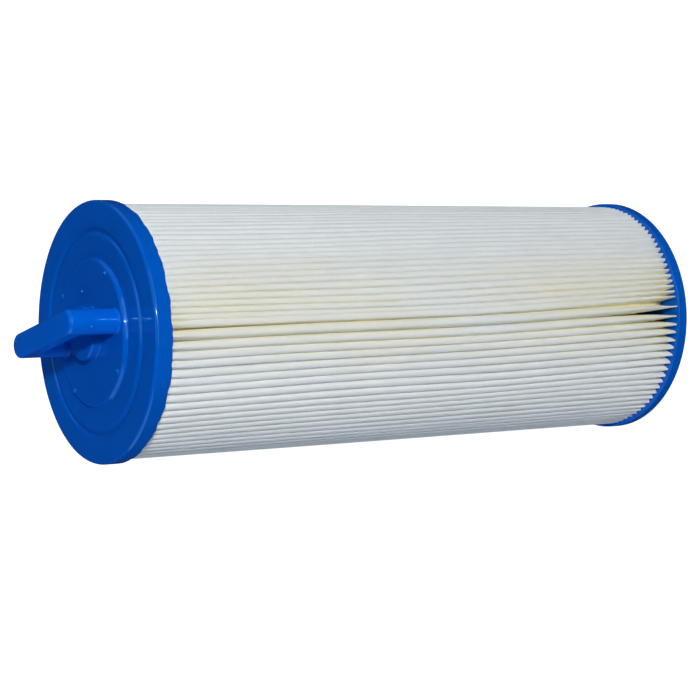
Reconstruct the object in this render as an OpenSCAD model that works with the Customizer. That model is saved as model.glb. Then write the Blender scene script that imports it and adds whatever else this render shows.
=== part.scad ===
// Pleated filter cartridge for a spa or pool filter housing.
// It stands upright: the threaded nipple is at the bottom and the carry handle on top.
// Millimetres, +Z up, origin at the centre of the nipple's lower end.

/* [Overall] */
// Outer diameter of both end caps
cap_d = 125.4; // [110:0.2:180]
// Length from the outer face of one end cap to the outer face of the other
cap_span = 323; // [150:1:500]

/* [Top end cap] */
// Height of the top cap's rim
top_rim_h = 8.6; // [8:0.1:14]
// Radius on the outer edge of both caps
edge_r = 1; // [0.4:0.1:2]
// Middle radius of the shallow groove in the top face
groove_r = 48.2; // [40:0.1:52]
// Width of the groove
groove_w = 3.6; // [1:0.1:5]
// Depth of the groove
groove_depth = 1; // [0.4:0.1:2]
// Radius of the raised disc round the handle
disc_r = 35; // [34:0.5:38]
// Height of the raised disc above the cap's face
disc_h = 2; // [1.5:0.1:4]
// Radius of the centre boss
boss_r = 13; // [8:0.5:18]
// Height of the centre boss above the raised disc
boss_h = 5; // [2:0.5:8]

/* [Carry handle] */
// Distance between the centres of the two posts
post_pitch = 53; // [44:1:54]
// Diameter of the posts, and width of the bar
post_d = 12; // [8:0.5:12]
// Height of the bar's upper face above the raised disc
handle_h = 25.4; // [20:0.1:45]
// Thickness of the bar
bar_t = 8; // [5:0.5:10]

/* [Bottom end cap and threaded adapter] */
// Height of the bottom cap's rim
bottom_rim_h = 6.2; // [6:0.1:14]
// Length of the nipple below the bottom cap
nipple_h = 25; // [24.5:0.5:40]
// Major diameter of the coarse thread
thread_d = 48; // [46:0.5:49]
// Bore of the nipple
nipple_bore_d = 38; // [30:0.5:40]
// Pitch of the coarse thread
thread_pitch = 5; // [4:0.5:5]
// Depth of the coarse thread
thread_depth = 1.8; // [1:0.1:2]

/* [Centre core] */
// Outer diameter of the centre core
core_d = 54; // [53:0.5:56]
// Wall of the centre core
core_wall = 2.5; // [2:0.1:3]
// Number of windows round the core
window_count = 12; // [8:1:14]
// Height of a window
window_h = 10.5; // [6:0.5:12]
// Distance from one row of windows to the next
window_pitch = 14; // [13:0.5:20]

/* [Pleated media] */
// Number of pleats
pleat_count = 104; // [60:1:110]
// Radius of the pleats' outer folds
crest_r = 61.2; // [50:0.1:61.5]
// Thickness of the non-woven sheet
sheet_t = 0.5; // [0.3:0.05:0.5]

/* [Hidden] */

$fn = 96;
cut = 1;

cap_r = cap_d / 2;
bottom_face_z = nipple_h;
bottom_rim_z = bottom_face_z + bottom_rim_h;
top_face_z = bottom_face_z + cap_span;
top_rim_z = top_face_z - top_rim_h;
disc_z = top_face_z + disc_h;
boss_z = disc_z + boss_h;
bar_top_z = disc_z + handle_h;
bar_z = bar_top_z - bar_t;
post_r = post_d / 2;

// The handle's anchor plate is potted in the top cap and holds both posts.
anchor_r = 30;
anchor_t = 3;
anchor_z = top_rim_z + 3;

// The adapter's flange is potted in the bottom cap, and its collar plugs into the core.
flange_r = 36;
flange_t = 3;
flange_z = bottom_face_z + 2.5;
flange_top_z = flange_z + flange_t;
collar_h = 8;

core_r = core_d / 2;
core_bore_r = core_r - core_wall;
core_z = flange_top_z;
core_top_z = top_rim_z + 1.6;
core_joint_z = (core_z + core_top_z) / 2;
spigot_h = 6;
spigot_r = core_bore_r + core_wall / 2;
plug_lip_t = 1;
plug_depth = 4;
window_end_land = 10;

thread_r = thread_d / 2;
nipple_r = thread_r - thread_depth;
bore_r = nipple_bore_d / 2;
thread_start = 3;
thread_turns = 5;
thread_crest = 1.2;
nipple_chamfer = 1.5;
// Shallow relief round the nipple, wider than the thread, so that the cap's face seats flat.
relief_r = thread_r + 0.6;
relief_depth = 1;

// Fold geometry: angles from a pleat's middle to the sheet's middle and faces.
root_r = core_r + 0.6;
pleat_angle = 360 / pleat_count;
half_sheet = sheet_t / 2;
crest_half = 0.23 * pleat_angle;
root_half = 0.248 * pleat_angle;
crest_face = half_sheet / crest_r * 180 / PI;
root_face = half_sheet / root_r * 180 / PI;
// The seam lies in the valley that these angles bring to the handle's +X end.
seam_azimuth = -8;
seam_top_r = crest_r - 6;

urethane_blue = [0.00, 0.27, 0.66];
plastic_blue = [0.01, 0.30, 0.70];
core_white = [0.86, 0.88, 0.90];
media_white = [0.93, 0.95, 0.96];
glue_cream = [0.90, 0.85, 0.62];

function polar(r, angle) = [r * cos(angle), r * sin(angle)];

// Angle of the middle of pleat i. The seam is half a pleat before the first one.
function pleat_middle(i) = seam_azimuth + (i + 0.5) * pleat_angle;

// Half section of a disc from z0 to z1. round_top and round_bottom are its edge radii.
module disc_section(r, z0, z1, round_top = 0, round_bottom = 0) {
    translate([0, z0 + round_bottom])
        square([r, z1 - z0 - round_top - round_bottom]);
    edge = max(round_top, round_bottom);
    translate([0, z0])
        square([r - edge, z1 - z0]);
    if (round_top > 0)
        translate([r - round_top, z1 - round_top])
            circle(r = round_top);
    if (round_bottom > 0)
        translate([r - round_bottom, z0 + round_bottom])
            circle(r = round_bottom);
}

module at_posts() {
    for (side = [-1, 1])
        translate([side * post_pitch / 2, 0, 0])
            children();
}

module top_end_cap() {
    color(urethane_blue)
        difference() {
            union() {
                rotate_extrude()
                    disc_section(cap_r, top_rim_z, top_face_z, round_top = edge_r);
                rotate_extrude()
                    disc_section(disc_r, top_face_z - cut, disc_z, round_top = edge_r);
                rotate_extrude()
                    disc_section(boss_r, disc_z - cut, boss_z, round_top = edge_r);
            }
            rotate_extrude()
                translate([groove_r - groove_w / 2, top_face_z - groove_depth])
                    square([groove_w, groove_depth + cut]);
            translate([0, 0, top_rim_z - cut])
                cylinder(r = core_r, h = core_top_z + plug_lip_t - top_rim_z + cut);
            translate([0, 0, anchor_z])
                cylinder(r = anchor_r, h = anchor_t);
            at_posts()
                translate([0, 0, anchor_z])
                    cylinder(r = post_r, h = disc_z - anchor_z + cut);
        }
}

module carry_handle() {
    color(plastic_blue) {
        translate([0, 0, anchor_z])
            cylinder(r = anchor_r, h = anchor_t);
        at_posts()
            translate([0, 0, anchor_z])
                cylinder(r = post_r, h = bar_top_z - anchor_z);
        translate([-post_pitch / 2, -post_r, bar_z])
            cube([post_pitch, post_d, bar_t]);
    }
}

// Disc that closes the core's top end, so that the cap's casting resin stays out.
module core_top_plug() {
    color(core_white) {
        translate([0, 0, core_top_z])
            cylinder(r = core_r, h = plug_lip_t);
        translate([0, 0, core_top_z - plug_depth])
            cylinder(r = core_bore_r, h = plug_depth);
    }
}

// Rows of windows between two heights, centred between the end lands.
module windows(z0, z1) {
    span = z1 - z0 - 2 * window_end_land - window_h;
    rows = floor(span / window_pitch) + 1;
    first_z = (z0 + z1) / 2 - (rows - 1) * window_pitch / 2;
    window_w = 2 * PI * core_r / window_count - 3.6;
    for (row = [0 : rows - 1], k = [0 : window_count - 1])
        rotate([0, 0, k * 360 / window_count])
            translate([core_r - core_wall / 2, 0, first_z + row * window_pitch])
                cube([core_wall + 2 * cut, window_w, window_h], center = true);
}

module tube(r_out, r_in, z0, z1) {
    translate([0, 0, z0])
        difference() {
            cylinder(r = r_out, h = z1 - z0);
            translate([0, 0, -cut])
                cylinder(r = r_in, h = z1 - z0 + 2 * cut);
        }
}

// The upper section's lower end is a socket for the lower section's spigot.
module core_upper_section() {
    color(core_white)
        difference() {
            tube(core_r, core_bore_r, core_joint_z, core_top_z);
            translate([0, 0, core_joint_z - cut])
                cylinder(r = spigot_r, h = spigot_h + cut);
            windows(core_joint_z, core_top_z);
        }
}

module core_lower_section() {
    color(core_white) {
        difference() {
            tube(core_r, core_bore_r, core_z, core_joint_z);
            windows(core_z, core_joint_z);
        }
        tube(spigot_r, core_bore_r, core_joint_z - cut, core_joint_z + spigot_h);
    }
}

// The sheet's outline: along its outer face from the seam round to the seam, and back inside.
module pleated_media() {
    outer_face = [
        for (i = [0 : pleat_count - 1], fold = [-1, 1], end = [0, 1])
            let (at_crest = (fold < 0) ? end : 1 - end)
            polar(
                at_crest == 1 ? crest_r : (is_seam_end(i, fold) ? root_r : root_r + sheet_t),
                pleat_middle(i) + fold * (at_crest == 1 ? crest_half + crest_face : root_half + root_face)
            )
    ];
    inner_face = [
        for (i = [pleat_count - 1 : -1 : 0], fold = [1, -1], end = [0, 1])
            let (at_crest = (fold > 0) ? end : 1 - end)
            polar(
                at_crest == 1 ? crest_r - sheet_t : root_r,
                pleat_middle(i) + fold * (at_crest == 1 ? crest_half - crest_face : root_half - root_face)
            )
    ];
    color(media_white)
        translate([0, 0, bottom_rim_z])
            linear_extrude(height = top_rim_z - bottom_rim_z)
                polygon(concat(outer_face, inner_face));
}

// True where the sheet's cut end stands at the seam, where there is no inner fold.
function is_seam_end(i, fold) = (i == 0 && fold < 0) || (i == pleat_count - 1 && fold > 0);

// Hot-melt bead that joins the sheet's two end folds, and fills the valley between them.
module media_seam_bead() {
    root_gap = pleat_angle / 2 - root_half - root_face;
    crest_gap = pleat_angle / 2 - crest_half - crest_face;
    depth_share = (seam_top_r - root_r) / (crest_r - root_r);
    top_gap = root_gap + (crest_gap - root_gap) * depth_share;
    color(glue_cream)
        translate([0, 0, bottom_rim_z])
            linear_extrude(height = top_rim_z - bottom_rim_z)
                polygon([
                    polar(root_r, seam_azimuth - root_gap),
                    polar(seam_top_r, seam_azimuth - top_gap),
                    polar(seam_top_r, seam_azimuth + top_gap),
                    polar(root_r, seam_azimuth + root_gap)
                ]);
}

module bottom_end_cap() {
    color(urethane_blue)
        difference() {
            rotate_extrude()
                disc_section(cap_r, bottom_face_z, bottom_rim_z, round_bottom = edge_r);
            translate([0, 0, bottom_face_z - cut])
                cylinder(r = nipple_r, h = bottom_rim_h + 2 * cut);
            translate([0, 0, bottom_face_z - cut])
                cylinder(r = relief_r, h = relief_depth + cut);
            translate([0, 0, flange_z])
                cylinder(r = flange_r, h = flange_t);
            translate([0, 0, flange_top_z])
                cylinder(r = core_r, h = bottom_rim_z - flange_top_z + cut);
        }
}

// Half section of one thread ring, with its crest at the thread's major radius.
module thread_ring_section(z) {
    root_x = -thread_depth;
    half_crest = thread_crest / 2;
    half_base = half_crest + thread_depth / 2;
    translate([thread_r, z])
        polygon([
            [root_x - cut, -half_base], [root_x, -half_base], [0, -half_crest],
            [0, half_crest], [root_x, half_base], [root_x - cut, half_base]
        ]);
}

// Nipple, potted flange and core collar in one moulding.
// The thread is drawn as plain rings at its pitch.
module threaded_adapter() {
    color(plastic_blue)
        rotate_extrude() {
            polygon([
                [bore_r, 0],
                [nipple_r - nipple_chamfer, 0],
                [nipple_r, nipple_chamfer],
                [nipple_r, flange_z],
                [bore_r, flange_z]
            ]);
            for (turn = [0 : thread_turns - 1])
                thread_ring_section(thread_start + turn * thread_pitch);
            translate([bore_r, flange_z])
                square([flange_r - bore_r, flange_t]);
            translate([bore_r, flange_z])
                square([core_bore_r - bore_r, flange_t + collar_h]);
        }
}

top_end_cap();
carry_handle();
core_top_plug();
core_upper_section();
core_lower_section();
pleated_media();
media_seam_bead();
bottom_end_cap();
threaded_adapter();
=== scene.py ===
"""Filter cartridge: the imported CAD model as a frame, with detailed caps, handle, pleated media and thread."""

import math

import bmesh
import bpy
import numpy as np
from mathutils import Matrix, Quaternion, Vector


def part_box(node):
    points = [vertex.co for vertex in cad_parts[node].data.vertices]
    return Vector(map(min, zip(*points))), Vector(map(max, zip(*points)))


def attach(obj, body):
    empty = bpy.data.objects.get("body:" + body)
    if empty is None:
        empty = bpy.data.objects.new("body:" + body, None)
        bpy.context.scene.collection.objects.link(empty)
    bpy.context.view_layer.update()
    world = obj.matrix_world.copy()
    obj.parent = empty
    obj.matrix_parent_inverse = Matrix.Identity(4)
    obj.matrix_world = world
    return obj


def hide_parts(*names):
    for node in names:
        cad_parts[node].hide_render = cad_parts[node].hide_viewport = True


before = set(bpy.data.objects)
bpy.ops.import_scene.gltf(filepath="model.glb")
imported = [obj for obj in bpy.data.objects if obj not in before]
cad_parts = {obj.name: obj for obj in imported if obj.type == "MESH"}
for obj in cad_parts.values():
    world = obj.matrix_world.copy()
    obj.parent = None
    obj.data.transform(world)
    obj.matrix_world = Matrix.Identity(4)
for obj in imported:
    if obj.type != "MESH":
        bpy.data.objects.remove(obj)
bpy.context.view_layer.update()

MM = 0.001
TAU = 2 * math.pi
QUARTER = math.pi / 2

# Corners of the CAD nodes that the pieces are built on.
top_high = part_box("top_end_cap")[1]
handle_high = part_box("carry_handle")[1]
media_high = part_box("pleated_media")[1]
bottom_low, bottom_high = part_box("bottom_end_cap")
adapter_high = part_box("threaded_adapter")[1]

# The top cap: the heights of its boss, disc, face and inner side, where the media goes in.
CAP_R = top_high[0]
BOSS_H, DISC_H = 5 * MM, 2 * MM
BOSS_Z = top_high[2]
DISC_Z = BOSS_Z - BOSS_H
FACE_Z = DISC_Z - DISC_H
TOP_INNER_Z = media_high[2]
# The bottom cap's face and its inner side.
BOTTOM_FACE_Z = bottom_low[2]
BOTTOM_INNER_Z = bottom_high[2]
# Outer radius of the core and of the media.
CORE_R = 27 * MM
CREST_R = media_high[0]
# The media's seam, as an azimuth at mid height.
SEAM = math.radians(-7.5)
rng = np.random.default_rng(158)


# ---------------------------------------------------------------- mesh helpers


def placed(name, mesh, smooth=True):
    """A new object in the scene with this mesh."""
    if smooth:
        mesh.polygons.foreach_set("use_smooth", [True] * len(mesh.polygons))
    obj = bpy.data.objects.new(name, mesh)
    bpy.context.scene.collection.objects.link(obj)
    return obj


def from_lists(name, verts, faces, smooth=True):
    """A new object of these vertices and faces."""
    mesh = bpy.data.meshes.new(name)
    mesh.from_pydata([tuple(v) for v in verts], [], [tuple(f) for f in faces])
    mesh.validate()
    return placed(name, mesh, smooth)


def from_bmesh(name, bm):
    """A new object of this bmesh, which is freed."""
    mesh = bpy.data.meshes.new(name)
    bm.to_mesh(mesh)
    bm.free()
    return placed(name, mesh)


def outward(obj):
    """Turns every face of obj's closed shells outward."""
    bm = bmesh.new()
    bm.from_mesh(obj.data)
    bmesh.ops.recalc_face_normals(bm, faces=bm.faces)
    bm.to_mesh(obj.data)
    bm.free()


def joined(name, objs):
    """One object of all of them."""
    bm = bmesh.new()
    for obj in objs:
        mesh = obj.data
        bm.from_mesh(mesh)
        bpy.data.objects.remove(obj)
        bpy.data.meshes.remove(mesh)
    return from_bmesh(name, bm)


def polar(r, a, z):
    """The point at radius r, angle a and height z."""
    return r * math.cos(a), r * math.sin(a), z


def rounded(corners, steps=6):
    """Polyline through (r, z, fillet radius) corners, with each corner rounded by its radius."""
    points = []
    last = len(corners) - 1
    for i, (r, z, fillet) in enumerate(corners):
        here = np.array([r, z])
        if fillet == 0 or i in (0, last):
            points.append(here)
            continue
        before = np.array(corners[i - 1][:2]) - here
        after = np.array(corners[i + 1][:2]) - here
        before, after = before / np.linalg.norm(before), after / np.linalg.norm(after)
        half = math.acos(np.clip(before @ after, -1, 1)) / 2
        reach = fillet / math.tan(half)
        centre = here + (before + after) / np.linalg.norm(before + after) * fillet / math.sin(half)
        start, end = here + before * reach - centre, here + after * reach - centre
        turn = math.atan2(start[0] * end[1] - start[1] * end[0], start @ end)
        for k in range(steps + 1):
            a = turn * k / steps
            c, s = math.cos(a), math.sin(a)
            points.append(centre + np.array([c * start[0] - s * start[1], s * start[0] + c * start[1]]))
    return points


def divided(points, longest):
    """The polyline again, with no step longer than that."""
    out = [points[0]]
    for a, b in zip(points, points[1:]):
        n = max(1, math.ceil(np.linalg.norm(b - a) / longest))
        out += [a + (b - a) * k / n for k in range(1, n + 1)]
    return out


def revolved(name, profile, segments, shift=None):
    """
    Closed shell turned from an (r, z) profile. shift(angle, r, z) gives a point's new (r, z).
    A profile that starts on the axis also ends there, and any other one closes on itself.
    """
    verts, faces, rings = [], [], []
    for r, z in profile:
        if r < 1e-7:
            rings.append([len(verts)])
            verts.append((0, 0, z))
            continue
        ring = []
        for k in range(segments):
            a = TAU * k / segments
            new_r, new_z = shift(a, r, z) if shift else (r, z)
            ring.append(len(verts))
            verts.append(polar(new_r, a, new_z))
        rings.append(ring)
    pairs = list(zip(rings, rings[1:]))
    if len(rings[0]) > 1:
        pairs.append((rings[-1], rings[0]))
    for one, two in pairs:
        for k in range(segments):
            n = (k + 1) % segments
            if len(one) == 1:
                faces.append((one[0], two[k], two[n]))
            elif len(two) == 1:
                faces.append((one[k], one[n], two[0]))
            else:
                faces.append((one[k], one[n], two[n], two[k]))
    obj = from_lists(name, verts, faces)
    outward(obj)
    return obj


def wave(terms, seed):
    """A smooth periodic random function of an angle, from about -1 to 1."""
    r = np.random.default_rng(seed)
    parts = [(n, r.normal() / math.sqrt(len(terms)), r.uniform(0, TAU)) for n in terms]
    return lambda a: sum(g * np.sin(n * a + p) for n, g, p in parts)


# ------------------------------------------------------------------- materials


class Nodes:
    """Shorthand for building one procedural material."""

    def __init__(self, name):
        self.material = bpy.data.materials.new(name)
        self.material.use_nodes = True
        self.tree = self.material.node_tree
        self.shader = self.tree.nodes["Principled BSDF"]
        self.place = self.tree.nodes.new("ShaderNodeTexCoord").outputs["Object"]

    def link(self, out, into):
        """Joins an output to an input."""
        self.tree.links.new(out, into)

    def new(self, kind, **settings):
        """A new shader node of that kind, with these settings."""
        node = self.tree.nodes.new("ShaderNode" + kind)
        for key, value in settings.items():
            setattr(node, key, value)
        return node

    def mapped(self, scale):
        """The object's coordinates, scaled by axis."""
        node = self.new("Mapping")
        node.inputs["Scale"].default_value = scale
        self.link(self.place, node.inputs["Vector"])
        return node.outputs["Vector"]

    def noise(self, scale, detail=3, roughness=0.55, stretch=None):
        """Noise from 0 to 1, scale cells to the metre."""
        node = self.new("TexNoise")
        node.inputs["Scale"].default_value = scale
        node.inputs["Detail"].default_value = detail
        node.inputs["Roughness"].default_value = roughness
        self.link(self.mapped(stretch) if stretch else self.place, node.inputs["Vector"])
        return node.outputs["Fac"]

    def ramp(self, fac, *stops):
        """Colour that fac picks from these (position, colour) stops."""
        node = self.new("ValToRGB")
        elements = node.color_ramp.elements
        while len(elements) < len(stops):
            elements.new(0.5)
        for element, (at, colour) in zip(elements, stops):
            element.position = at
            element.color = (*colour, 1)
        self.link(fac, node.inputs["Fac"])
        return node.outputs["Color"]

    def ranged(self, value, start, end):
        """0 where value is at start, 1 where it is at end."""
        node = self.new("MapRange")
        node.inputs["From Min"].default_value = start
        node.inputs["From Max"].default_value = end
        self.link(value, node.inputs["Value"])
        return node.outputs[0]

    def math(self, kind, a, b=0):
        """The sum, product or other function of a and b, which are outputs or numbers."""
        node = self.new("Math", operation=kind)
        for socket, value in zip(node.inputs, (a, b)):
            if isinstance(value, (int, float)):
                socket.default_value = value
            else:
                self.link(value, socket)
        return node.outputs[0]

    def mix(self, fac, a, b, kind="MIX"):
        """Colour b over colour a by fac, which is an output or a number."""
        node = self.new("Mix", data_type="RGBA", blend_type=kind)
        fac_input, a_input, b_input = node.inputs[0], node.inputs[6], node.inputs[7]
        if isinstance(fac, float):
            fac_input.default_value = fac
        else:
            self.link(fac, fac_input)
        self.link(a, a_input)
        self.link(b, b_input)
        return node.outputs[2]

    def bump(self, *layers):
        """layers are (height, distance in metres), finest last."""
        normal = None
        for height, distance in layers:
            node = self.new("Bump")
            node.inputs["Distance"].default_value = distance
            self.link(height, node.inputs["Height"])
            if normal:
                self.link(normal, node.inputs["Normal"])
            normal = node.outputs["Normal"]
        self.link(normal, self.shader.inputs["Normal"])

    def base(self, colour):
        """Sets the shader's colour."""
        self.link(colour, self.shader.inputs["Base Color"])

    def rough(self, texture, share, least):
        """Sets the roughness, which texture raises from least by up to share."""
        value = self.math("ADD", self.math("MULTIPLY", texture, share), least)
        self.link(value, self.shader.inputs["Roughness"])

    def set(self, **values):
        """Sets shader inputs, with _ for a space in a name."""
        for key, value in values.items():
            self.shader.inputs[key.replace("_", " ")].default_value = value


def blue_plastic(name, deep, light, gloss):
    """Glossy solid-coloured casting: a little mottled, with faint ripples and a few dull patches."""
    m = Nodes(name)
    m.set(IOR=1.46, Specular_IOR_Level=0.55, Specular_Tint=(0.40, 0.80, 1.0, 1))
    m.base(m.ramp(m.noise(38, 4), (0.3, deep), (0.7, light)))
    m.rough(m.noise(140, 5), 0.08, gloss)
    m.bump((m.noise(60, 2), 0.22 * MM), (m.noise(900, 3), 0.012 * MM))
    return m.material


def media_fabric():
    """
    Spun-bonded polyester, matt. Its colour holds painted light: bluish white crests for painted cool light,
    lighter and warmer deep folds for painted bounce light, and painted warm light on the fold walls beside the
    seam.
    Specks stand for its fibres, and clouds along the folds for its uneven thickness.
    """
    m = Nodes("polyester_media")
    m.set(Roughness=0.92, Sheen_Weight=0.1, Sheen_Roughness=0.5, Specular_IOR_Level=0.2)
    split = m.new("SeparateXYZ")
    m.link(m.place, split.inputs[0])
    x, y = split.outputs[0], split.outputs[1]
    radius = m.math("SQRT", m.math("ADD", m.math("MULTIPLY", x, x), m.math("MULTIPLY", y, y)))
    # 0 on the crests, and 1 from 5 mm below them inward.
    depth = m.ranged(radius, CREST_R - 0.4 * MM, CREST_R - 5 * MM)
    # Painted light by depth: cool bluish white on the crests, and a lighter, warmer colour deeper in the folds
    # as painted bounce light.
    painted_depth_light = m.ramp(depth, (0.0, (0.88, 0.925, 0.935)), (0.3, (0.95, 0.975, 0.96)), (1.0, (0.98, 0.975, 0.91)))
    # Painted warm light on the lit walls of the folds, warmer still deeper in.
    painted_fold_light = m.ramp(
        depth,
        (0.0, (0.895, 0.90, 0.825)),
        (0.07, (0.94, 0.935, 0.79)),
        (0.28, (0.965, 0.935, 0.68)),
        (1.0, (0.97, 0.90, 0.56)),
    )
    # The painted warm light on the fold walls is strongest 3 degrees from the seam, and patchy.
    azimuth = m.math("ARCTAN2", y, x)
    from_fold_light = m.math("ABSOLUTE", m.math("SUBTRACT", azimuth, SEAM + math.radians(3)))
    beside = m.ranged(from_fold_light, math.radians(34), math.radians(6))
    patches = m.ranged(m.noise(28, 3, 0.5, (1, 1, 0.3)), 0.3, 0.55)
    # Painted fold light laid over the depth colour, beside the seam and in patches.
    painted_tint = m.mix(m.math("MULTIPLY", beside, patches), painted_depth_light, painted_fold_light)
    fibre = m.noise(1500, 5, 0.7)
    clouds = m.noise(90, 4, 0.6, (1, 1, 0.35))
    white = (1.0, 1.0, 1.0)
    specks = m.mix(1.0, painted_tint, m.ramp(fibre, (0.30, (0.93, 0.93, 0.93)), (0.62, white)), "MULTIPLY")
    colour = m.mix(1.0, specks, m.ramp(clouds, (0.3, (0.97, 0.97, 0.965)), (0.7, white)), "MULTIPLY")
    m.base(colour)
    m.bump((clouds, 0.3 * MM), (fibre, 0.14 * MM))
    # Some of the light comes through the sheet.
    through = m.new("BsdfTranslucent")
    m.link(colour, through.inputs["Color"])
    both = m.new("MixShader")
    both.inputs[0].default_value = 0.16
    m.link(m.shader.outputs[0], both.inputs[1])
    m.link(through.outputs[0], both.inputs[2])
    m.link(both.outputs[0], m.tree.nodes["Material Output"].inputs["Surface"])
    return m.material


def glue():
    """Cream hot-melt: satin, slightly translucent, with a soft lumpy surface."""
    m = Nodes("seam_glue")
    m.set(Roughness=0.42, Subsurface_Weight=0.15, Subsurface_Scale=2 * MM)
    m.base(m.ramp(m.noise(120, 4), (0.3, (0.80, 0.73, 0.46)), (0.7, (0.88, 0.82, 0.58))))
    m.bump((m.noise(320, 3), 0.2 * MM))
    return m.material


def core_plastic():
    """White moulded polypropylene with a fine satin texture."""
    m = Nodes("core_plastic")
    m.set(Specular_IOR_Level=0.4)
    m.base(m.ramp(m.noise(45, 4), (0.3, (0.66, 0.68, 0.69)), (0.7, (0.74, 0.76, 0.77))))
    m.rough(m.noise(200, 3), 0.2, 0.35)
    m.bump((m.noise(1100, 4), 0.03 * MM))
    return m.material


CAP_BLUE = blue_plastic("cap_urethane", (0.0, 0.090, 0.490), (0.0, 0.099, 0.535), 0.06)
# The handle's blue is lighter than the cap's: a little of it is the handle's own tone, and the rest is painted
# light that brightens its posts.
HANDLE_BLUE = blue_plastic("handle_plastic", (0.0, 0.108, 0.60), (0.0, 0.118, 0.65), 0.06)
ADAPTER_BLUE = blue_plastic("adapter_plastic", (0.0, 0.096, 0.54), (0.0, 0.106, 0.60), 0.14)
MEDIA = media_fabric()
GLUE = glue()
CORE = core_plastic()


def dress(obj, material):
    """obj takes this material and slot, and rides on the one body."""
    obj.data.materials.clear()
    obj.data.materials.append(material)
    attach(obj, "root")


# --------------------------------------------------------------- pleated media

PLEATS = 104
SHEET_T = 0.5 * MM
# The folds' roots stand just clear of the core.
ROOT_R = CORE_R + 0.6 * MM
# How far the sheet's ends go into the caps.
EMBED = 1.2 * MM
# How far the folds lean round from top to bottom.
LEAN = math.radians(6)
# The pleats spread out on one side of the seam and crowd up on the other, less and less round these angles.
SPREAD, SPREAD_REACH = 0.36, math.radians(62)
CROWD, CROWD_REACH = 0.13, math.radians(70)
# How much the width of single pleats varies.
WIDTH_VARIES = 0.08
# Angle between the sheet's two end folds.
SEAM_GAP = 1.1 * MM / CREST_R


def pleat_middles():
    """Angle of each pleat's middle, counted clockwise from the seam, and its share of the circle."""
    where = (np.arange(PLEATS) + 0.5) / PLEATS * TAU
    share = 1 + SPREAD * np.exp(-where / SPREAD_REACH) - CROWD * np.exp((where - TAU) / CROWD_REACH)
    share *= 1 + WIDTH_VARIES * rng.standard_normal(PLEATS)
    share *= (TAU - SEAM_GAP) / share.sum()
    edges = SEAM_GAP / 2 + np.concatenate([[0], np.cumsum(share)])
    return (edges[:-1] + edges[1:]) / 2, share


def smoothed(values, passes):
    """Values round the circle, each averaged with its neighbours that many times."""
    for _ in range(passes):
        values = (np.roll(values, 1, 0) + 2 * values + np.roll(values, -1, 0)) / 4
    return values


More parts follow.
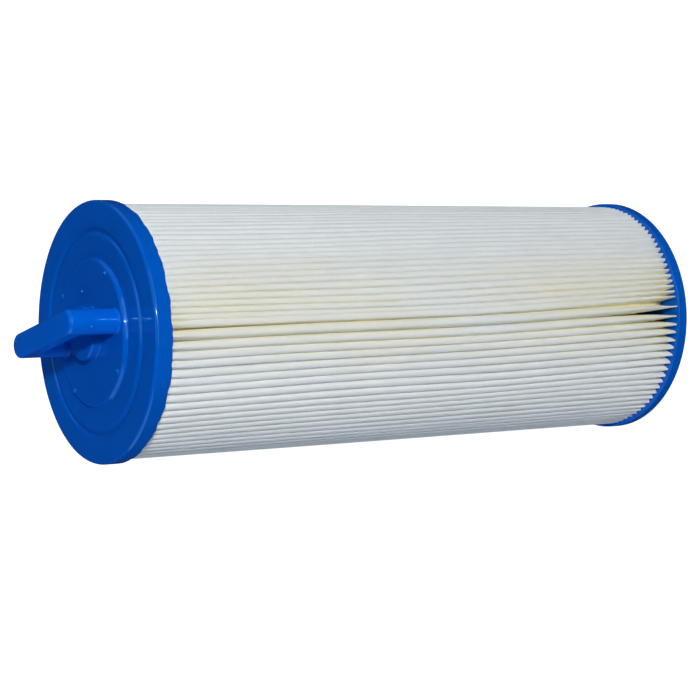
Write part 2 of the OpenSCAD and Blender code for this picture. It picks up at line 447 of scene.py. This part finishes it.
class Pleats:
    """The folded sheet's shape: where each fold stands at each height."""

    # Points round half a crest.
    CREST = 3
    # Sine waves along the height that bend a fold, and how far it bends with its neighbours and by itself.
    BENDS, SWAY, TWITCH = 4, math.radians(0.55), math.radians(0.14)
    # Largest half width of a crest and of the swollen sides below it.
    HALF_CREST, HALF_BELLY = 1.65 * MM, 2.7 * MM
    # How far a fold's top stands in from the CAD's outer radius on average, and how much of that varies.
    SHORT, SHORT_VARIES = 0.25 * MM, 0.45
    # How hard and how far the top cap's resin pinches the folds, as shares of what the bottom cap's does.
    TOP_PINCH, TOP_REACH = 0.45, 0.3

    def __init__(self):
        self.middle, self.share = pleat_middles()
        self.z0, self.z1 = BOTTOM_INNER_Z - EMBED, TOP_INNER_Z + EMBED
        # Neighbours sway together, and each twitches and varies in height by itself.
        self.sway = smoothed(rng.standard_normal((PLEATS, self.BENDS)), 5) * 2.2
        self.twitch = smoothed(rng.standard_normal((PLEATS, self.BENDS)), 1)
        self.height = smoothed(rng.standard_normal((PLEATS, 3)), 1)
        # Half a crest's width as a share of the pitch: fuller where the folds crowd together.
        apart = self.share / self.share.mean() - 0.85
        self.plump = np.clip(0.435 - 0.15 * apart, 0.34, 0.43) + 0.01 * rng.standard_normal(PLEATS)
        # Neighbours almost touch this far below the crests.
        self.belly = MM * np.clip(0.62 + 0.65 * apart, 0.62, 1.0)
        # How hard the resin pinches each fold, and how far in from the bottom and the top cap that reaches:
        # more where the folds stand apart, and most beside the seam.
        bunch = smoothed(rng.standard_normal(PLEATS), 2)
        count = np.arange(PLEATS)
        beside_seam = np.exp(-np.minimum(count, 1.5 * (PLEATS - 1 - count)) / 2.4)
        squeeze = 0.46 + 0.35 * apart + 0.09 * rng.standard_normal(PLEATS) + 0.16 * bunch
        self.squeeze = np.clip(squeeze, 0.16, 0.72) + 0.24 * beside_seam
        wanted = 5 + 15 * apart + 3 * bunch + 22 * beside_seam
        self.reach = MM * np.clip(wanted[:, None] + 2.6 * rng.standard_normal((PLEATS, 2)), 1.5, 32)
        self.reach[:, 1] *= self.TOP_REACH

    def along(self, z):
        """0 from the bottom cap's inner side down, 1 from the top cap's up, and even between."""
        return min(max((z - BOTTOM_INNER_Z) / (TOP_INNER_Z - BOTTOM_INNER_Z), 0), 1)

    def ends(self, z):
        """How far each fold is pinched: 1 at the bottom cap, TOP_PINCH at the top cap, and 0 far inside."""
        low, high = max(z - BOTTOM_INNER_Z, 0), max(TOP_INNER_Z - z, 0)
        at_bottom = np.exp(-((low / self.reach[:, 0]) ** 1.4))
        at_top = np.exp(-((high / self.reach[:, 1]) ** 1.4))
        return at_bottom + self.TOP_PINCH * at_top

    def angles(self, z):
        """Azimuth of every pleat's middle at height z."""
        t = self.along(z)
        modes = np.array([math.sin(math.pi * t * (k + 1)) / (k + 1) for k in range(self.BENDS)])
        own = self.SWAY * self.sway @ modes + self.TWITCH * self.twitch @ modes
        lean = LEAN * (0.5 - t)
        return SEAM + lean - self.middle + own

    def fold(self, middle, root, half_crest, pitch, pinch, top, side, depth):
        """
        One side of a fold as (r, angle) points, from beside the root to just under the crest. middle and root
        are the azimuths of the crest's middle and of the root on this side. side is 1 where that root has the
        greater azimuth and -1 where it has the smaller. pitch is the angle between the fold's two roots, and
        depth is how far below the top its sides swell most.
        """
        tall = half_crest * (0.5 + 2.7 * pinch)
        neck = top - tall
        belly = min(top - depth, neck - 0.1 * MM)
        half_root = pitch / 4
        half_belly = min(0.496 * pitch, self.HALF_BELLY / belly) - SHEET_T / 2 / belly
        half_belly += (half_crest / neck - half_belly) * 0.9 * min(pinch, 1)
        low = ROOT_R + SHEET_T / 2 + half_root * ROOT_R
        halfway = (low + belly) / 2, (half_root + half_belly) / 2
        # The fold leans a little between its root and its crest, so its middle drifts with r.
        foot = root - side * 2 * half_root
        points = [(low, root - side * half_root)]
        for r, half in (halfway, (belly, half_belly), (neck, half_crest / neck)):
            u = (r - low) / (top - low)
            points.append((r, foot + (middle - foot) * u + side * half))
        # The last point stays short of the top, where both sides meet.
        for k in range(1, self.CREST + 1):
            a = QUARTER * k / (self.CREST + 0.6)
            points.append((neck + tall * math.sin(a), middle + side * half_crest * math.cos(a) / neck))
        return points

    def outline(self, z):
        """Middle line of the sheet at height z, as points round the circle from the seam to the seam."""
        angles = self.angles(z)
        t = self.along(z)
        pinch = self.ends(z)
        seam = (angles[0] + angles[-1] + TAU) / 2
        roots = np.concatenate([[seam], (angles[:-1] + angles[1:]) / 2, [seam - TAU]])
        swell = np.array([math.sin(math.pi * t), math.sin(2 * math.pi * t), math.cos(math.pi * t)])
        points = []
        for i in range(PLEATS):
            pitch = roots[i] - roots[i + 1]
            half_crest = min(pitch * CREST_R * self.plump[i], self.HALF_CREST)
            half_crest = half_crest * (1 - self.squeeze[i] * min(pinch[i], 1)) - SHEET_T / 2
            highest = CREST_R - SHEET_T / 2
            top = min(highest - self.SHORT * (1 + self.height[i] @ swell * self.SHORT_VARIES), highest)
            up = self.fold(angles[i], roots[i], half_crest, pitch, pinch[i], top, 1, self.belly[i])
            down = self.fold(angles[i], roots[i + 1], half_crest, pitch, pinch[i], top, -1, self.belly[i])
            points += up + [(top, angles[i])] + down[::-1]
            if i < PLEATS - 1:
                points.append((ROOT_R + SHEET_T / 2, roots[i + 1]))
        return np.array([(r * math.cos(a), r * math.sin(a)) for r, a in points])


def heights(z0, z1, n):
    """n heights from z0 to z1, closer together near the two ends."""
    t = np.linspace(0, 1, n)
    return z0 + (z1 - z0) * (t - 0.86 * np.sin(TAU * t) / TAU)


def pleated_sheet(pleats, rings):
    """The sheet as one closed mesh with its thickness."""
    layers = []
    for z in heights(pleats.z0, pleats.z1, rings):
        line = pleats.outline(z)
        step = np.gradient(line, axis=0)
        step /= np.linalg.norm(step, axis=1)[:, None]
        normal = np.stack([-step[:, 1], step[:, 0]], 1) * SHEET_T / 2
        loop = np.concatenate([line + normal, (line - normal)[::-1]])
        layers.append(np.column_stack([loop, np.full(len(loop), z)]))
    count = len(layers[0])
    faces = []
    for k in range(rings - 1):
        low, high = k * count, (k + 1) * count
        for j in range(count):
            n = (j + 1) % count
            faces.append((low + j, low + n, high + n, high + j))
    # The sheet's two cut edges, inside the caps.
    for base in (0, (rings - 1) * count):
        far = base + count - 1
        faces += [(base + j, base + j + 1, far - j - 1, far - j) for j in range(count // 2 - 1)]
    obj = from_lists("pleated_sheet", np.concatenate(layers), faces)
    outward(obj)
    return obj


pleats = Pleats()
sheet = pleated_sheet(pleats, rings=28)
dress(sheet, MEDIA)
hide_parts("pleated_media")


def seam_bead(pleats):
    """Bead of hot melt in the valley between the sheet's two end folds, with a hollow, uneven face."""
    lump = wave(range(3, 40), 7)
    verts, faces = [], []
    for z in np.linspace(pleats.z0, pleats.z1, 120):
        angles = pleats.angles(z)
        middle = (angles[0] + angles[-1] + TAU) / 2
        # The bead sinks deeper near the caps.
        low, high = max(z - BOTTOM_INNER_Z, 0), max(TOP_INNER_Z - z, 0)
        sunk = 9 * MM * math.exp(-low / (12 * MM)) + 5 * MM * math.exp(-high / (25 * MM))
        top = CREST_R - 3.6 * MM + 0.5 * MM * lump(z * 20) - sunk
        # Its sides stay clear of the two end folds.
        low_half, high_half = 0.18 * MM / ROOT_R, middle - angles[0] - 1.15 * MM / top
        edge, dip = top + 0.5 * MM, top - 0.2 * MM
        section = [
            (ROOT_R, -low_half),
            (edge, -high_half),
            (top, -high_half / 2),
            (dip, 0),
            (top, high_half / 2),
            (edge, high_half),
            (ROOT_R, low_half),
        ]
        verts += [polar(r, middle + a, z) for r, a in section]
    n = len(section)
    for k in range(0, len(verts) - n, n):
        faces += [(k + j, k + (j + 1) % n, k + n + (j + 1) % n, k + n + j) for j in range(n)]
    faces += [tuple(range(n)), tuple(range(len(verts) - n, len(verts)))]
    obj = from_lists("seam_bead", verts, faces)
    outward(obj)
    return obj


bead = seam_bead(pleats)
dress(bead, GLUE)
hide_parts("media_seam_bead")


# --------------------------------------------------------------------- the caps

# Radii of the top cap's boss and disc.
BOSS_R, DISC_R = 13 * MM, 35 * MM
# Depth of the ring groove in each cap's face.
GROOVE_DEPTH = 1 * MM
# The bottom cap's relief round the nipple, and the hole that the nipple goes through.
RELIEF_R, RELIEF_DEPTH = 24.6 * MM, 1 * MM
NIPPLE_HOLE_R = 22.3 * MM
# The core stands in a pocket in each cap, this deep in the top one.
POCKET_R, POCKET_DEPTH = CORE_R + 0.05 * MM, 3 * MM
# The potted collar of the adapter starts this far below its top.
COLLAR_H = 8 * MM
CAP_SEGMENTS = 384
# Longest step along a cap's profile.
CAP_STEP = 1.6 * MM
# The caps' rims are uneven from the first radius out, and fully so this much further out.
UNEVEN_R, UNEVEN_OVER = 55 * MM, 7 * MM


def groove(face_z, bed_z, fillet):
    """Corners of the ring groove in a cap's face. fillet rounds the two that meet the face."""
    return [
        (46.4 * MM, face_z, fillet),
        (47.6 * MM, bed_z, 1 * MM),
        (48.8 * MM, bed_z, 1 * MM),
        (50.0 * MM, face_z, fillet),
    ]


def lens(place, normal, radius, height, length=None):
    """
    A small closed lens-shaped bump, half sunk in the surface at place.
    length is how far it reaches up and down a cap's side, where that isn't its radius.
    """
    bm = bmesh.new()
    bmesh.ops.create_icosphere(bm, subdivisions=3, radius=1)
    bmesh.ops.scale(bm, vec=(radius, length or radius, height), verts=bm.verts)
    turn = Vector(normal).to_track_quat("Z", "Y").to_matrix().to_4x4()
    bmesh.ops.transform(bm, matrix=Matrix.Translation(place) @ turn, verts=bm.verts)
    return from_bmesh("bump", bm)


def top_cap():
    """Cast cap: boss, raised disc with pips, shallow groove, and a rim whose back edge is a little ragged."""
    profile = divided(rounded([
        (0, BOSS_Z, 0),
        (BOSS_R, BOSS_Z, 1.0 * MM),
        (BOSS_R, DISC_Z, 0.6 * MM),
        (DISC_R, DISC_Z, 1.6 * MM),
        (DISC_R + 0.5 * MM, FACE_Z, 0.5 * MM),
        *groove(FACE_Z, FACE_Z - GROOVE_DEPTH, 2 * MM),
        (CAP_R, FACE_Z, 1.6 * MM),
        (CAP_R, TOP_INNER_Z, 0.5 * MM),
        (POCKET_R, TOP_INNER_Z, 0),
        (POCKET_R, TOP_INNER_Z + POCKET_DEPTH, 0),
        (0, TOP_INNER_Z + POCKET_DEPTH, 0),
    ]), CAP_STEP)
    ragged = wave([5, 9, 14, 23, 31, 47, 52, 61, 104], 3)
    swell = wave([2, 3, 5, 8], 11)

    def shift(a, r, z):
        """The rim's back edge wanders, and its side is not perfectly round."""
        if r < UNEVEN_R:
            return r, z
        back = max(0.0, 1 - (z - TOP_INNER_Z) / (3 * MM))
        out = min(1.0, (r - UNEVEN_R) / UNEVEN_OVER)
        return r - 0.10 * MM * out * (1 + swell(a)) / 2, z + 0.35 * MM * back * out * ragged(a)

    cap = revolved("cast_top_cap", profile, CAP_SEGMENTS, shift)
    up = (0, 0, 1)
    pips = [polar(32.8 * MM, math.radians(45.5 + 90 * k), DISC_Z) for k in range(4)]
    bumps = [lens(pip, up, 1.3 * MM, 1.15 * MM) for pip in pips]
    bumps.append(lens(polar(20.6 * MM, math.radians(97), DISC_Z), up, 1.1 * MM, 1.0 * MM))
    # Flash marks across the rim.
    for azimuth in (-35, -19, 7, 21, 151, 232):
        a = math.radians(azimuth)
        place = polar(CAP_R - 0.14 * MM, a, TOP_INNER_Z + 4.3 * MM)
        bumps.append(lens(place, polar(1, a, 0), 0.45 * MM, 0.30 * MM, 3.4 * MM))
    return joined("cast_top_cap", [cap, *bumps])


def bottom_cap():
    """Cast cap with a thin rim, a flat face and a shallow relief round the nipple."""
    bed_z = BOTTOM_FACE_Z + RELIEF_DEPTH
    hole_top = adapter_high[2] - COLLAR_H
    profile = divided(rounded([
        (NIPPLE_HOLE_R, bed_z, 0),
        (RELIEF_R, bed_z, 0.4 * MM),
        (RELIEF_R, BOTTOM_FACE_Z, 0.5 * MM),
        *groove(BOTTOM_FACE_Z, BOTTOM_FACE_Z + GROOVE_DEPTH, 1 * MM),
        (CAP_R, BOTTOM_FACE_Z, 1.1 * MM),
        (CAP_R, BOTTOM_INNER_Z, 0.5 * MM),
        (POCKET_R, BOTTOM_INNER_Z, 0),
        (POCKET_R, hole_top, 0),
        (NIPPLE_HOLE_R, hole_top, 0),
    ]), CAP_STEP)
    ragged = wave([4, 7, 12, 21, 33, 46, 58, 104], 5)

    def shift(a, r, z):
        """The rim's back edge wanders."""
        if r < UNEVEN_R:
            return r, z
        back = max(0.0, 1 - (BOTTOM_INNER_Z - z) / (2.5 * MM))
        out = min(1.0, (r - UNEVEN_R) / UNEVEN_OVER)
        return r, z - 0.3 * MM * back * out * abs(ragged(a))

    return revolved("cast_bottom_cap", profile, CAP_SEGMENTS, shift)


cap = top_cap()
dress(cap, CAP_BLUE)
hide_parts("top_end_cap")
foot = bottom_cap()
dress(foot, CAP_BLUE)
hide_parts("bottom_end_cap")


# ------------------------------------------------------------------ the handle


class Handle:
    """Two round posts under a flat bar with half-round ends flush with the posts."""

    # A post's radius and its distance from the axis, the bar's top and underside, and the top of the disc.
    POST_R = 6 * MM
    REACH = handle_high[0] - POST_R
    TOP = handle_high[2]
    UNDER = TOP - 8 * MM
    BASE = DISC_Z
    # How far the posts go down into the cap.
    POTTED = 4 * MM
    # Rounding of the bar's top edge, its lower edges, and a post's corners with the bar and with the disc.
    TOP_EDGE, LOW_EDGE, FILLET, FLARE = 1.9 * MM, 0.9 * MM, 0.9 * MM, 0.5 * MM
    # Points round half a post, and steps round the top edge and round each smaller corner.
    HALF, TOP_STEPS, STEPS = 24, 6, 4

    def __init__(self):
        self.bm = bmesh.new()
        self.rims = {side: self.post(side) for side in (1, -1)}
        self.waist = self.upper_bar()
        self.under_bar()
        bmesh.ops.remove_doubles(self.bm, verts=self.bm.verts, dist=0.001 * MM)
        bmesh.ops.recalc_face_normals(self.bm, faces=self.bm.faces)
        # Corners sharper than 35 degrees stay sharp.
        for edge in self.bm.edges:
            edge.smooth = edge.calc_face_angle(0) < math.radians(35)

    def arc(self, side, z, r, last, inward=0.0):
        """
        Points 0 to last round the post on that side. The outer half runs from 0 to HALF, and the inner half
        follows. inward is how much further than r the inner half reaches toward the other post.
        """
        points = []
        for k in range(last + 1):
            a = math.pi * k / self.HALF - side * QUARTER
            out = r + (inward * math.sin(a - side * QUARTER) ** 2 if k > self.HALF else 0)
            x, y, _ = polar(out, a, z)
            points.append(self.bm.verts.new((side * self.REACH + x, y, z)))
        return points

    def band(self, low, high):
        """Faces between two closed loops of the same length."""
        for k in range(len(low)):
            j = (k + 1) % len(low)
            self.bm.faces.new((low[k], low[j], high[j], high[k]))

    def post(self, side):
        """The post on that side, from inside the cap up to the bar's underside. Gives its top ring."""
        foot, head = self.BASE + self.FLARE, self.UNDER - self.FILLET
        levels = [(self.BASE - self.POTTED, self.POST_R + self.FLARE, 0)]
        for k in range(self.STEPS + 1):
            a = QUARTER * k / self.STEPS
            levels.append((foot - self.FLARE * math.cos(a), self.POST_R + self.FLARE * (1 - math.sin(a)), 0))
        levels += [(foot + (head - foot) * k / 6, self.POST_R, 0) for k in range(1, 7)]
        for k in range(1, self.STEPS + 1):
            a = QUARTER * k / self.STEPS
            levels.append((head + self.FILLET * math.sin(a), self.POST_R, self.FILLET * (1 - math.cos(a))))
        rings = [self.arc(side, z, r, 2 * self.HALF - 1, inward) for z, r, inward in levels]
        for low, high in zip(rings, rings[1:]):
            self.band(low, high)
        self.bm.faces.new(rings[0][::-1])
        return rings[-1]

    def upper_bar(self):
        """The bar's top with its rounded edge, and its half-round ends. Gives the lowest loop's two ends."""
        n = self.HALF
        loops = []
        for k in range(self.TOP_STEPS + 1):
            a = QUARTER * k / self.TOP_STEPS
            z = self.TOP - self.TOP_EDGE * (1 - math.sin(a))
            r = self.POST_R - self.TOP_EDGE * (1 - math.cos(a))
            loops.append(self.arc(1, z, r, n) + self.arc(-1, z, r, n))
        for low, high in zip(loops, loops[1:]):
            self.band(low, high)
        self.bm.faces.new(loops[-1])
        waist = {1: loops[0][: n + 1], -1: loops[0][n + 1 :]}
        for side, end in waist.items():
            rim = self.rims[side]
            for k in range(n):
                self.bm.faces.new((rim[k], rim[k + 1], end[k + 1], end[k]))
        return waist

    def under_bar(self):
        """The bar's flat sides, its underside, and its lower edges, whose rounding grows out of the posts."""
        n = self.HALF
        # Places along the bar, from each post's middle to 4.5 mm inward of it.
        steps = [0.75 * MM * k for k in range(7)]
        xs = [self.REACH - s for s in steps] + [s - self.REACH for s in steps[::-1]]
        turns = [QUARTER * k / self.STEPS for k in range(self.STEPS + 1)]
        insides = {}
        for sign in (1, -1):
            strip = []
            for x in xs:
                clear = self.POST_R - math.sqrt(self.POST_R**2 - (self.REACH - abs(x)) ** 2)
                r = min(self.LOW_EDGE, 0.5 * clear)
                row = [(sign * (self.POST_R - r * (1 - math.cos(a))), r * (1 - math.sin(a))) for a in turns]
                strip.append([self.bm.verts.new((x, y, self.UNDER + up)) for y, up in row])
            for one, two in zip(strip, strip[1:]):
                for k in range(self.STEPS):
                    self.bm.faces.new((one[k], two[k], two[k + 1], one[k + 1]))
            corners = self.waist[1][n if sign > 0 else 0], self.waist[-1][0 if sign > 0 else n]
            self.bm.faces.new([*corners, *[row[0] for row in strip[::-1]]])
            insides[sign] = [row[-1] for row in strip]
        right, left = self.rims[1][n + 1 :], self.rims[-1][n + 1 :]
        self.bm.faces.new([*right, *insides[-1], *left, *insides[1][::-1]])


def handle():
    """The handle, with a casting bubble on one post."""
    grip = from_bmesh("grip", Handle().bm)
    a = math.radians(-36)
    x, y, z = polar(Handle.POST_R, a, Handle.BASE + 14 * MM)
    bubble = lens((Handle.REACH + x, y, z), polar(1, a, 0), 0.75 * MM, 0.5 * MM)
    return joined("handle_grip", [grip, bubble])


grip = handle()
dress(grip, HANDLE_BLUE)
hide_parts("carry_handle")


# ------------------------------------------------------------- threaded adapter


def adapter():
    """Nipple with a true helical thread, the potted flange and the core collar."""
    major, thread_depth, pitch = 24 * MM, 1.8 * MM, 5 * MM
    bore = 19 * MM
    root = major - thread_depth
    # Width of the thread's crest and of each of its flanks.
    crest, flank = 1.2 * MM, 0.9 * MM
    # Where the thread starts and ends, and the height over which it fades in and out.
    start, end, run_out = 1.2 * MM, BOTTOM_FACE_Z - 0.6 * MM, 1.6 * MM
    # Chamfer outside the nipple's end, and the smaller one inside it, which also rounds the collar's top.
    tip, edge = 1.2 * MM, 0.8 * MM
    flange_r, flange_t, collar_r = 36 * MM, 3 * MM, 24.5 * MM
    flange_z = BOTTOM_FACE_Z + 2.5 * MM
    top = adapter_high[2]
    segments = 160

    def shift(a, r, z):
        """The threaded wall's radius at that angle and height. Other walls stay as they are."""
        if abs(r - root) > 1e-6 or not 1.0 * MM < z < BOTTOM_FACE_Z:
            return r, z
        phase = (z / pitch - a / TAU) % 1.0
        d = abs(phase - 0.5) * pitch
        ridge = min(1.0, max(0.0, (crest / 2 + flank - d) / flank))
        fade = min(1.0, max(0.0, (z - start) / run_out), max(0.0, (end - z) / run_out))
        return root + thread_depth * ridge * fade, z

    outside = [np.array(point) for point in ((bore + edge, 0.0), (root - tip, 0.0), (root, tip))]
    # A ring every quarter millimetre up the thread.
    outside += [np.array([root, z]) for z in np.arange(1.45 * MM, BOTTOM_FACE_Z, 0.25 * MM)]
    inside = rounded([
        (root, BOTTOM_FACE_Z, 0),
        (root, flange_z, 0),
        (flange_r, flange_z, 0),
        (flange_r, flange_z + flange_t, 0),
        (collar_r, flange_z + flange_t, 0),
        (collar_r, top, edge),
        (bore, top, edge),
        (bore, edge, 0),
    ])
    return revolved("moulded_adapter", outside + divided(inside, 2 * MM), segments, shift)


nipple = adapter()
dress(nipple, ADAPTER_BLUE)
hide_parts("threaded_adapter")

for node in ("core_top_plug", "core_upper_section", "core_lower_section"):
    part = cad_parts[node]
    part.data.materials.clear()
    part.data.materials.append(CORE)


# ------------------------------------------------------ stage, light and camera


def shader_nodes(tree, **kinds):
    """Clears the tree, and gives new shader nodes of these kinds by name."""
    tree.nodes.clear()
    return {name: tree.nodes.new("ShaderNode" + kind) for name, kind in kinds.items()}


def stage():
    """Plain pale floor that the camera sees as almost white. It is dim in bounced light, and not mirrored."""
    reach, z = 4.0, -0.3 * MM
    corners = [(-reach, -reach, z), (reach, -reach, z), (reach, reach, z), (-reach, reach, z)]
    floor = from_lists("floor", corners, [(0, 1, 2, 3)], smooth=False)
    material = bpy.data.materials.new("floor")
    material.use_nodes = True
    tree = material.node_tree
    n = shader_nodes(
        tree,
        out="OutputMaterial",
        place="TexCoord",
        away="VectorMath",
        fade="MapRange",
        glow="Emission",
        matt="BsdfDiffuse",
        both="AddShader",
        dim="BsdfDiffuse",
        seen="LightPath",
        choose="MixShader",
    )
    n["away"].operation = "LENGTH"
    # The glow grows to full white away from the cartridge.
    for name, value in (("From Min", 0.3), ("From Max", 1.2), ("To Min", 0.93), ("To Max", 1.0)):
        n["fade"].inputs[name].default_value = value
    n["glow"].inputs["Color"].default_value = (1, 1, 1, 1)
    n["matt"].inputs["Color"].default_value = (0.35, 0.35, 0.35, 1)
    n["dim"].inputs["Color"].default_value = (0.22, 0.22, 0.22, 1)
    for out, into in (
        (n["place"].outputs["Object"], n["away"].inputs[0]),
        (n["away"].outputs["Value"], n["fade"].inputs["Value"]),
        (n["fade"].outputs[0], n["glow"].inputs["Strength"]),
        (n["glow"].outputs[0], n["both"].inputs[0]),
        (n["matt"].outputs[0], n["both"].inputs[1]),
        (n["seen"].outputs["Is Camera Ray"], n["choose"].inputs[0]),
        (n["dim"].outputs[0], n["choose"].inputs[1]),
        (n["both"].outputs[0], n["choose"].inputs[2]),
        (n["choose"].outputs[0], n["out"].inputs[0]),
    ):
        tree.links.new(out, into)
    floor.data.materials.append(material)
    floor.visible_glossy = False


def area_light(name, azimuth, elevation, distance, size, level, colour=(1, 1, 1), shine=True):
    """
    Light that far from the cartridge's middle, facing it, with size as its width and height. level is how
    much of full white it gives there, and shine says whether glossy surfaces mirror it.
    """
    a, e = math.radians(azimuth), math.radians(elevation)
    away = Vector(polar(math.cos(e), a, math.sin(e)))
    light = bpy.data.lights.new(name, "AREA")
    light.shape, light.energy = "RECTANGLE", level * (math.pi * distance) ** 2
    light.size, light.size_y = size
    light.color = colour
    obj = bpy.data.objects.new(name, light)
    bpy.context.scene.collection.objects.link(obj)
    obj.visible_glossy = shine
    obj.location = Vector((0, 0, 0.25)) + away * distance
    obj.rotation_mode = "QUATERNION"
    obj.rotation_quaternion = (-away).to_track_quat("-Z", "Y")


def lighting():
    """One small key on the handle's side, wide soft fills, and a dim room that the camera sees as white."""
    cool, blue, bluer = (0.87, 0.97, 1.13), (0.78, 0.97, 1.22), (0.66, 0.97, 1.34)
    area_light("key", 5, 29, 2.2, (0.14, 0.14), 0.69)
    area_light("top_fill", 60, 78, 2.4, (1.4, 1.4), 0.09)
    area_light("front_fill", 8, 12, 2.6, (3.0, 0.8), 0.24)
    area_light("side_fill", 88, 16, 3.2, (3.6, 3.6), 0.13, bluer)
    area_light("low_fill", -95, 14, 3.2, (3.6, 3.6), 0.38, (0.86, 0.97, 1.16))
    area_light("left_back_fill", 135, 10, 2.8, (1.2, 1.2), 0.25, blue, shine=False)
    area_light("right_back_fill", -140, 10, 2.8, (1.2, 1.2), 0.36, cool, shine=False)
    area_light("back_fill", 172, 4, 2.8, (1.6, 1.6), 0.42, shine=False)
    world = bpy.data.worlds.new("room")
    bpy.context.scene.world = world
    world.use_nodes = True
    tree = world.node_tree
    n = shader_nodes(
        tree, out="OutputWorld", room="Background", shown="Background", path="LightPath", choose="MixShader"
    )
    n["room"].inputs["Color"].default_value = (0.9, 0.95, 1.0, 1)
    n["room"].inputs["Strength"].default_value = 0.015
    n["shown"].inputs["Color"].default_value = (1, 1, 1, 1)
    for out, into in (
        (n["path"].outputs["Is Camera Ray"], n["choose"].inputs[0]),
        (n["room"].outputs[0], n["choose"].inputs[1]),
        (n["shown"].outputs[0], n["choose"].inputs[2]),
        (n["choose"].outputs[0], n["out"].inputs[0]),
    ):
        tree.links.new(out, into)


def camera():
    """Long lens, raised in front of the cartridge and rolled so that its axis lies across the picture."""
    azimuth, elevation, roll = math.radians(-10.14), math.radians(33.80), math.radians(-92.45)
    back = Vector(polar(math.cos(elevation), azimuth, math.sin(elevation)))
    data = bpy.data.cameras.new("camera")
    data.lens = 99.8
    data.sensor_width = 36
    obj = bpy.data.objects.new("camera", data)
    bpy.context.scene.collection.objects.link(obj)
    obj.location = Vector((0.8143, -0.1592, 0.7580))
    obj.rotation_mode = "QUATERNION"
    obj.rotation_quaternion = (-back).to_track_quat("-Z", "Y") @ Quaternion((0, 0, 1), roll)
    bpy.context.scene.camera = obj


stage()
lighting()
camera()
bpy.context.scene.view_settings.view_transform = "Standard"
